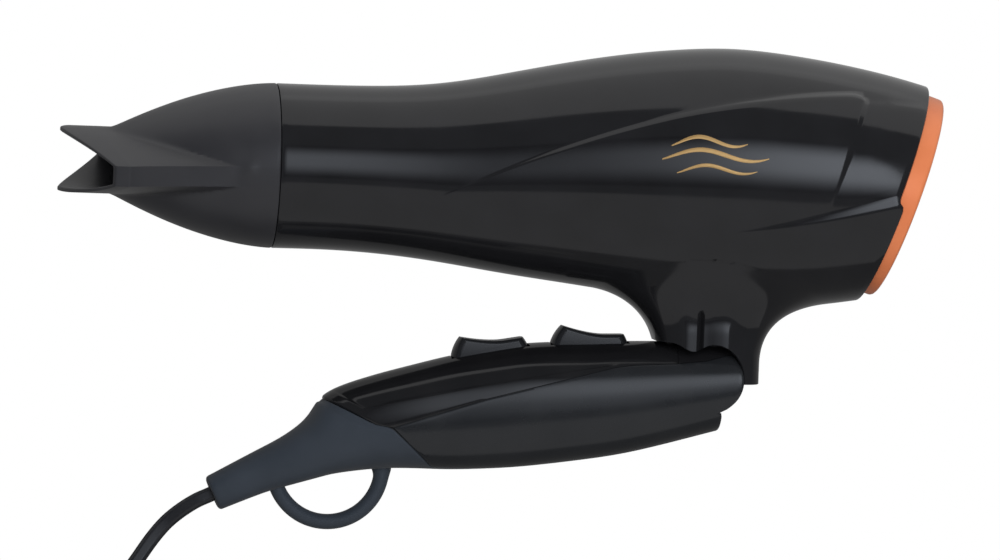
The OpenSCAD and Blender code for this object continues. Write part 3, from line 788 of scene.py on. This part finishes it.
# Grip sections: [row, centre x, centre y, half height, half width, lean of the section]
GRIP_ROWS = [
    [-16.2, -108.9, 5.9, 5.9, 25], [-1.2, -101.4, 6.9, 7, 20], [7.9, -97.3, 8.1, 8.6, 12],
    [16.2, -92.7, 10.1, 10.6, 11], [22.2, -87.6, 13.4, 13, 11], [36.4, -83.6, 15.3, 15.2, 6],
    [49, -81.4, 17, 16.4, 3], [61, -79.6, 18.8, 17, 0], [74, -77.9, 19.8, 17.6, 0],
    [87, -76.1, 20.4, 18, 0], [106, -74.2, 19.5, 18, 0], [119, -72.7, 18.6, 17.9, 0],
    [132, -70.8, 17.1, 17.8, 0], [145, -68.9, 15.2, 17.7, 0], [158, -67, 13.3, 17.6, 0]]
GRIP = Profile([[i, *row] for i, row in enumerate(GRIP_ROWS)], 0.125, 10)
LAST_ROW = len(GRIP_ROWS) - 1
OVAL = 0.82
COVER_LINE = [(41, -84.6), (71.5, -74), (93, -68), (114, -62.2), (120, -61.3), (135, -60.2), (144.5, -59.1),
              (151.5, -57.1)]
BOOT_LINE = [(16, -75.6), (19.8, -75.8), (27.6, -79.6), (35.3, -83.6), (41, -84.6), (55, -97.6)]
COVER_FROM, RIM_FROM = 41, 36  # before these, the cover's edge and its rim keep one angle
RIM_LINE = [(33.5, -78.3), (60.8, -72.1), (81.9, -67.3), (116.6, -61), (135, -59.6), (151.5, -56.6)]
SLOT_HALF = 7.9             # half width of the gap between the two ears beside the hinge
SLOT_END = 134.6            # where that gap ends
SLOT_LOW = -75.7            # below this height the grip's end is closed
GRIP_END = 149.9            # where the grip ends below the knuckle
STEP_Y = -76.5              # height where that end steps in
COVER_END = 135.0


def height_on(points, x):
    """Height of a line of (x, y) points at x."""
    for (x0, y0), (x1, y1) in zip(points, points[1:]):
        if x <= x1:
            return mix(y0, y1, (x - x0) / (x1 - x0))
    return points[-1][1]


def grip_point(s, a, inset=0.0):
    """The grip's surface at row s and a degrees round the section, from the left side up."""
    cx, cy, height, width, lean = GRIP(s)
    h, w = rounded(a, height - inset, width - inset, OVAL)
    return Vector((cx - h * sin_d(lean), cy + h * cos_d(lean), w))


def angle_on(points, s):
    """Angle on the grip's section where a side-view line crosses it."""
    cx, cy, height, _, lean = GRIP(s)
    share = clamp((height_on(points, max(cx, points[0][0])) - cy) / (height * cos_d(lean)), -1, 1)
    return math.degrees(math.asin(clamp(power(share, 1 / OVAL), -1, 1)))


START_ANGLE = angle_on(COVER_LINE, find(lambda s: GRIP(s)[0] - COVER_FROM, 0, LAST_ROW))
RIM_START = angle_on(RIM_LINE, find(lambda s: GRIP(s)[0] - RIM_FROM, 0, LAST_ROW))


def cover_angle(s):
    """Where the front cover ends on the side of the grip."""
    return START_ANGLE if GRIP(s)[0] < COVER_FROM else angle_on(COVER_LINE, s)


def rim_angle(s):
    """Inner edge of the bevelled rim along the cover."""
    angle = RIM_START if GRIP(s)[0] < RIM_FROM else angle_on(RIM_LINE, s)
    return max(angle, cover_angle(s) + 2.5)


def in_boot(p):
    """Below zero inside the cord boot, above it past the boot's edge."""
    return -1 if p.x < 16 else p.y - height_on(BOOT_LINE, p.x)


def boot_end(angle_of):
    """Row of the grip where a line along it leaves the boot."""
    return find(lambda s: in_boot(grip_point(s, angle_of(s))), 2.5, 8.5)


def row_at_x(angle_of, x):
    """Row of the grip where a line along it reaches x."""
    return find(lambda s: grip_point(s, angle_of(s)).x - x, 3, LAST_ROW)


def add_cover():
    """Glossy front cover: a bevelled rim stands round a smooth crowned panel, with two rocker slots."""
    shares = [0, 0.012, 0.03, 0.2, 0.5, 0.8, 0.93, 1.0]

    def column(k):
        if k < len(shares):
            return lambda s: mix(cover_angle(s), rim_angle(s), shares[k])
        t = (k - len(shares)) / 54
        return lambda s: mix(rim_angle(s) + 1.2, 90, t)

    columns = len(shares) + 55
    steps = [0, 0.002, 0.006, *spread(0.012, 0.026, 5), *spread(0.0285, 0.04, 5),
             *spread(0.05, 0.99, 100), 0.998, 1]
    lines = []
    for k in range(columns):
        angle_of = column(k)
        start, end = boot_end(angle_of), row_at_x(angle_of, COVER_END - 0.06)
        made = []
        for i, t in enumerate(steps):
            s = mix(start, end, t)
            edge = 0.22 if k == 0 else 0.05 if k == 1 else 0
            edge += (0.5, 0.12)[i] if i < 2 else 0.1 if i == len(steps) - 1 else 0
            edge = min(edge, 0.6)
            sunk = 0.45 * (1 if k >= len(shares) else 0) * ramp(t, 0.027, 0.04)
            sunk *= (1 - ramp(grip_point(s, 90).x, 104, 116)) * (1 - ramp(angle_of(s), 50, 86))
            made.append(grip_point(s, angle_of(s), edge + sunk))
        inner = [grip_point(mix(start, end, t), angle_of(mix(start, end, t)), WALL) for t in (0, 0.08)]
        lines.append(inner[::-1] + made)
    first = [grip_point(s, cover_angle(s), WALL) for s in
             (mix(boot_end(cover_angle), row_at_x(cover_angle, COVER_END - 0.06), t)
              for t in [0.08, 0] + steps)]
    skin = Skin()
    skin.grid([first] + lines, flip=True)
    skin.add(skin.mirrored())
    return skin


def knuckle_end(angle_of):
    """Row where a line along the grip meets its rounded end."""
    def past(s):
        p = grip_point(s, angle_of(s))
        dy = p.y - PIVOT.y
        if abs(dy) < KNUCKLE_R and p.y > STEP_Y:
            return p.x - PIVOT.x - math.sqrt(KNUCKLE_R ** 2 - dy * dy) - 0.3
        if dy > 0:
            return p.x - PIVOT.x
        return p.x - GRIP_END - 0.25 * ramp(-p.y, -STEP_Y, 78)
    return find(past, 10, LAST_ROW)


def back_strip(angle_of, start, end, edge_inset, softness=1.0):
    """One line along the back shell from its front edge to the end of the knuckle, closed over the end."""
    steps = [0, 0.003, 0.008] + spread(0.02, 0.98, 90) + [0.992, 0.997, 1]
    made = []
    for i, t in enumerate(steps):
        s = mix(start, end, t)
        inset = edge_inset + (softness * (0.45, 0.12)[i] if i < 2 else (0.12, 0.45)[i - len(steps) + 2]
                              if i >= len(steps) - 2 else 0)
        made.append(grip_point(s, angle_of(s), min(inset, 0.6)))
    lip = grip_point(start, angle_of(start), WALL)
    tip = made[-1]
    open_slot = tip.y > SLOT_LOW
    z = SLOT_HALF if open_slot else 0.0
    closing = [Vector((tip.x, tip.y, min(tip.z, mix(tip.z, z, t)))) for t in (0.5, 1)]
    closing.append(Vector((SLOT_END if open_slot else tip.x - 0.01, tip.y, closing[-1].z)))
    return [lip] + made + closing


def add_back():
    """Satin back shell of the grip, its rounded knuckle and the two ears beside the hinge."""
    lines = []
    under = [0, 0.006, 0.02] + spread(0.04, 1, 56)
    for k, t in enumerate(under):
        def angle_of(s, t=t):
            return mix(cover_angle(s), -90, t)
        inset = (0.2, 0.05, 0)[k] if k < 3 else 0
        lines.append(back_strip(angle_of, boot_end(angle_of) + 0.012, knuckle_end(angle_of), inset))
    skin = Skin()
    skin.grid(lines)
    skin.add(skin.mirrored())
    add_mesh("grip_back", skin.points, skin.faces, "grip_black", "handle", ["handle_back_shell"], 32)
    tops = []

    def slot_angle(s):
        width = GRIP(s)[3]
        return math.degrees(math.acos(clamp((SLOT_HALF / width) ** (1 / OVAL))))

    for t in spread(0, 1, 14):
        def angle_of(s, t=t):
            return mix(cover_angle(s), slot_angle(s), t)
        start = row_at_x(angle_of, COVER_END + 0.06)
        tops.append(back_strip(angle_of, start, knuckle_end(angle_of), 0, 0.2))
    skin = Skin()
    skin.grid(tops, flip=True)
    skin.add(skin.mirrored())
    add_mesh("knuckle_top", skin.points, skin.faces, "cover_black", "handle", ["handle_back_shell"], 32)


def add_boot():
    """Rubber boot: a tapered sleeve for the cord, with the hanging loop moulded on."""
    skin = Skin()
    turns = spread(-90, 90, 60)
    lines = []
    for a in turns:
        end = boot_end(lambda s, a=a: a) - 0.012
        made = []
        steps = spread(0.0, 0.985, 70) + [0.994, 0.998, 1]
        for i, t in enumerate(steps):
            s = mix(0.06, end, t)
            step_in = 0.75 * ramp(t, 0.93, 0.975) * ramp(a, -12, 10)
            edge = (0.12, 0.45)[i - len(steps) + 2] if i >= len(steps) - 2 else 0
            made.append(grip_point(s, a, min(step_in + edge, 1.2)))
        made.append(grip_point(end, a, WALL + 0.6))
        mouth = []
        for s, inset in ((0.4, 3.3), (0.06, 3.2), (0.0, 2.9), (-0.012, 2.4), (-0.012, 1.0), (0.0, 0.5),
                         (0.03, 0.14)):
            mouth.append(grip_point(s, a, inset))
        lines.append(mouth + made)
    skin.grid(lines, flip=True)
    skin.add(skin.mirrored())
    loop = []
    centre, radius = Vector((21.5, -99, 0)), 18.0
    for turn in spread(172, 368, 90):
        near = min(turn - 172, 368 - turn)
        flare = 1 + 0.35 * math.exp(-((near - 6) / 7) ** 2)
        ring = []
        for j in range(28):
            a = 360 * j / 28
            r = radius + 2.55 * (flare if cos_d(a) < 0 or near > 20 else mix(1, flare, 0.7)) * cos_d(a)
            ring.append(centre + Vector((r * cos_d(turn), r * sin_d(turn), 2.85 * sin_d(a))))
        loop.append(ring)
    skin.grid(loop, closed=True)
    add_mesh("boot", skin.points, skin.faces, "boot_rubber", "handle", ["cord_boot"], 34)


def cut_slots(cover, places):
    """Cuts each rocker's slot out of the cover."""
    for place in places:
        cutter_mesh = bpy.data.meshes.new("slot_cutter")
        points, faces = prism_of(slot_outline(), 6.0)
        cutter_mesh.from_pydata([at(on_cover(place, p)) for p in points], [], faces)
        cutter = bpy.data.objects.new("slot_cutter", cutter_mesh)
        bpy.context.scene.collection.objects.link(cutter)
        change = cover.modifiers.new("slot", "BOOLEAN")
        change.operation, change.solver, change.object = "DIFFERENCE", "EXACT", cutter
        bpy.context.view_layer.update()
        evaluated = cover.evaluated_get(bpy.context.evaluated_depsgraph_get())
        cut = bpy.data.meshes.new_from_object(evaluated)
        cover.modifiers.clear()
        cover.data = cut
        bpy.data.objects.remove(cutter)


# ---------- rockers ----------

SPEED = (73.6, -58.2, 10.5)  # x and y on the cover, and the degrees that it leans there
HEAT = (106.6, -54.6, 2.0)
ROCKER_HALF = 5.6           # half width
ROCKER_R = 13.4             # from the pivot to the ends
ROCKER_DEPTH = 4.4          # from the cover down to the pivot


def on_cover(place, p):
    """A point given along the cover, out of it and to the left, from a rocker's pivot."""
    x, y = p[0], p[1] - ROCKER_DEPTH
    c, s = cos_d(place[2]), sin_d(place[2])
    return Vector((place[0] + x * c - y * s, place[1] + x * s + y * c, p[2]))


def prism_of(outline, half):
    """A straight block with an outline, half as wide to each side."""
    n = len(outline)
    points = [(x, y, -half) for x, y in outline] + [(x, y, half) for x, y in outline]
    faces = [tuple(range(n))[::-1], tuple(range(n, 2 * n))]
    faces += [(i, (i + 1) % n, n + (i + 1) % n, n + i) for i in range(n)]
    return points, faces


def slot_outline():
    return [((ROCKER_R + 0.3) * cos_d(a), (ROCKER_R + 0.3) * sin_d(a)) for a in spread(0, 180, 48)]


def rocker_outline():
    """Side view of a rocker cap: round ends about its pivot and a dished top."""
    top_right, top_left = ROCKER_DEPTH + 2.4, ROCKER_DEPTH + 5.3
    right_end = [(ROCKER_R * cos_d(a), ROCKER_R * sin_d(a)) for a in
                 spread(6, math.degrees(math.asin(top_right / ROCKER_R)), 12)]
    left_end = [(-ROCKER_R * cos_d(a), ROCKER_R * sin_d(a)) for a in
                spread(math.degrees(math.asin(top_left / ROCKER_R)), 6, 12)]
    x1, x0 = right_end[-1][0], left_end[0][0]
    dish = []
    for x in spread(x1, x0, 24)[1:-1]:
        dish.append((x, top_right + (top_left - top_right) * clamp((5 - x) / (5 - x0)) ** 1.55))
    return right_end + dish + left_end


def add_rocker(name, place, body, node):
    """Rocker cap: soft edges, and ends that curve in towards its sides."""
    outline = rocker_outline()
    foot = outline[0][1]
    skin = Skin()
    softness = 1.3

    def layer(z, inset):
        narrow = 1 - 0.13 * abs(z / ROCKER_HALF) ** 3
        row = []
        for i, (x, y) in enumerate(outline):
            before, after = outline[max(i - 1, 0)], outline[min(i + 1, len(outline) - 1)]
            across = Vector((after[1] - before[1], before[0] - after[0])).normalized()
            x, y = narrow * (x - inset * across.x), max(foot, y - inset * across.y)
            row.append(on_cover(place, (x, y, z)))
        return row

    turns = spread(0, 90, 8)
    rows = [layer(-ROCKER_HALF + softness * (1 - sin_d(a)), softness * (1 - cos_d(a))) for a in turns[::-1]]
    rows += [layer(z, 0) for z in spread(-ROCKER_HALF + softness, ROCKER_HALF - softness, 12)[1:-1]]
    rows += [layer(ROCKER_HALF - softness * (1 - sin_d(a)), softness * (1 - cos_d(a))) for a in turns]
    skin.grid(rows, closed=True)
    for row, turned in ((0, True), (len(rows) - 1, False)):
        face = [row * len(outline) + i for i in range(len(outline))]
        skin.faces.append(tuple(face[::-1] if turned else face))
    add_mesh(name, skin.points, skin.faces, "rocker_black", body, [node], 40)


def add_handle():
    cover_skin = add_cover()
    cover = add_mesh("grip_cover", cover_skin.points, cover_skin.faces, "cover_black", "handle",
                     ["handle_front_cover"], 30)
    cut_slots(cover, [SPEED, HEAT])
    add_back()
    add_boot()
    add_rocker("speed_rocker_cap", SPEED, "speed_switch", "speed_rocker")
    add_rocker("heat_rocker_cap", HEAT, "heat_switch", "heat_rocker")


add_handle()

# ---------- finishes of the CAD nodes that stay ----------

for part in frame["record"]["subparts"]:
    mesh = frame["nodes"][part["node"]].data
    mesh.materials.clear()
    mesh.materials.append(LOOKS[part["material_slot"]])

# ---------- floor and light ----------


def own_axes(tree):
    """X and Y of the object's own space."""
    where = tree.nodes.new("ShaderNodeTexCoord")
    parts = add_node(tree, "ShaderNodeSeparateXYZ", {"Vector": where.outputs["Object"]})
    return parts.outputs["X"], parts.outputs["Y"]


def by_ray(tree, output, to_eye, to_rest):
    """Shows one shader to the camera itself, and another to reflections and light."""
    seen = tree.nodes.new("ShaderNodeLightPath")
    choose = add_node(tree, "ShaderNodeMixShader",
                      {0: seen.outputs["Is Camera Ray"], 1: to_rest, 2: to_eye})
    add_node(tree, output, {"Surface": choose.outputs["Shader"]})


def add_sheet(name, half):
    """A flat square in its own X and Y, that far from its middle to each side."""
    mesh = bpy.data.meshes.new(name)
    mesh.from_pydata([(-half, -half, 0), (half, -half, 0), (half, half, 0), (-half, half, 0)], [],
                     [(0, 1, 2, 3)])
    sheet = bpy.data.objects.new(name, mesh)
    bpy.context.scene.collection.objects.link(sheet)
    return sheet


def add_card(name, r_axis, u_axis, place, width, height, left, right_end, soft=0.0, colour=(1, 1, 1)):
    """A glowing card that the camera doesn't see. Its light goes from left to right_end along it, and
    fades out over the share soft towards its two long edges."""
    card = add_sheet(name, 0.5)
    card.matrix_world = facing(r_axis, u_axis, place) @ Matrix.Diagonal((width, height, 1, 1))
    material, tree = empty_material(name)
    strength = left
    if soft or left != right_end:
        x, y = own_axes(tree)
        across = add_node(tree, "ShaderNodeMath", {0: y})
        across.operation = "ABSOLUTE"
        fade = span(tree, across.outputs["Value"], 1, 0, 0.5 * (1 - soft), 0.5, "SMOOTHSTEP")
        both = add_node(tree, "ShaderNodeMath", {0: span(tree, x, left, right_end, -0.5, 0.5), 1: fade})
        both.operation = "MULTIPLY"
        strength = both.outputs["Value"]
    glow = add_node(tree, "ShaderNodeEmission", {"Color": (*colour, 1), "Strength": strength})
    add_node(tree, "ShaderNodeOutputMaterial", {"Surface": glow.outputs["Emission"]})
    card.data.materials.append(material)
    card.visible_camera = False
    card.visible_shadow = False


def add_fill():
    """Soft frontal light that shows in no reflection: it lifts the colours of the matt pieces."""
    fill = bpy.data.objects.new("fill", bpy.data.lights.new("fill", "SUN"))
    bpy.context.scene.collection.objects.link(fill)
    fill.data.energy = 2.6
    fill.data.angle = math.radians(50)
    ahead = (to_camera + 0.12 * up + 0.25 * right).normalized()
    side = up.cross(ahead).normalized()
    fill.matrix_world = facing(side, ahead.cross(side), in_view(0, 0, 2))
    fill.visible_glossy = False


def add_floor():
    """Plain white floor; in reflections it is dim under the dryer and brighter above its top edge."""
    floor = add_sheet("floor", 6.0)
    material, tree = empty_material("floor")
    _, y = own_axes(tree)
    dim = add_node(tree, "ShaderNodeEmission", {"Strength": span(tree, y, 0.12, 0.9, -0.05, 0.28)})
    white = tree.nodes.new("ShaderNodeEmission")
    by_ray(tree, "ShaderNodeOutputMaterial", white.outputs["Emission"], dim.outputs["Emission"])
    floor.data.materials.append(material)


def add_world():
    """White to the camera, and a dim cool grey to everything else."""
    world = bpy.data.worlds.new("studio")
    bpy.context.scene.world = world
    world.use_nodes = True
    tree = world.node_tree
    tree.nodes.clear()
    dark = add_node(tree, "ShaderNodeBackground", {"Color": (0.9, 0.95, 1, 1), "Strength": 0.12})
    white = tree.nodes.new("ShaderNodeBackground")
    by_ray(tree, "ShaderNodeOutputWorld", white.outputs["Background"], dark.outputs["Background"])


def add_lights():
    """A long white card above the dryer, a soft card at the camera and a dim card below."""
    far = 0.6               # how far above and below the dryer the two long cards lie
    top_edge = far / math.tan(math.radians(60))
    add_card("top_card", right, to_camera, in_view(0, far, (top_edge - 0.3) / 2), 2.4, top_edge + 0.3,
             0.74, 0.74)
    add_card("front_card", right, -up, in_view(0.3, 0.24, 1.5), 1.1, 1.25, 0, 3.3, soft=0.85,
             colour=(0.84, 0.9, 1))
    near, low_end = far / math.tan(math.radians(86)), far / math.tan(math.radians(22))
    add_card("low_card", right, to_camera, in_view(0, -far, (near + low_end) / 2), 2.4, low_end - near,
             0.42, 0.42)


add_floor()
add_world()
add_lights()
add_fill()
bpy.context.scene.view_settings.view_transform = "Standard"
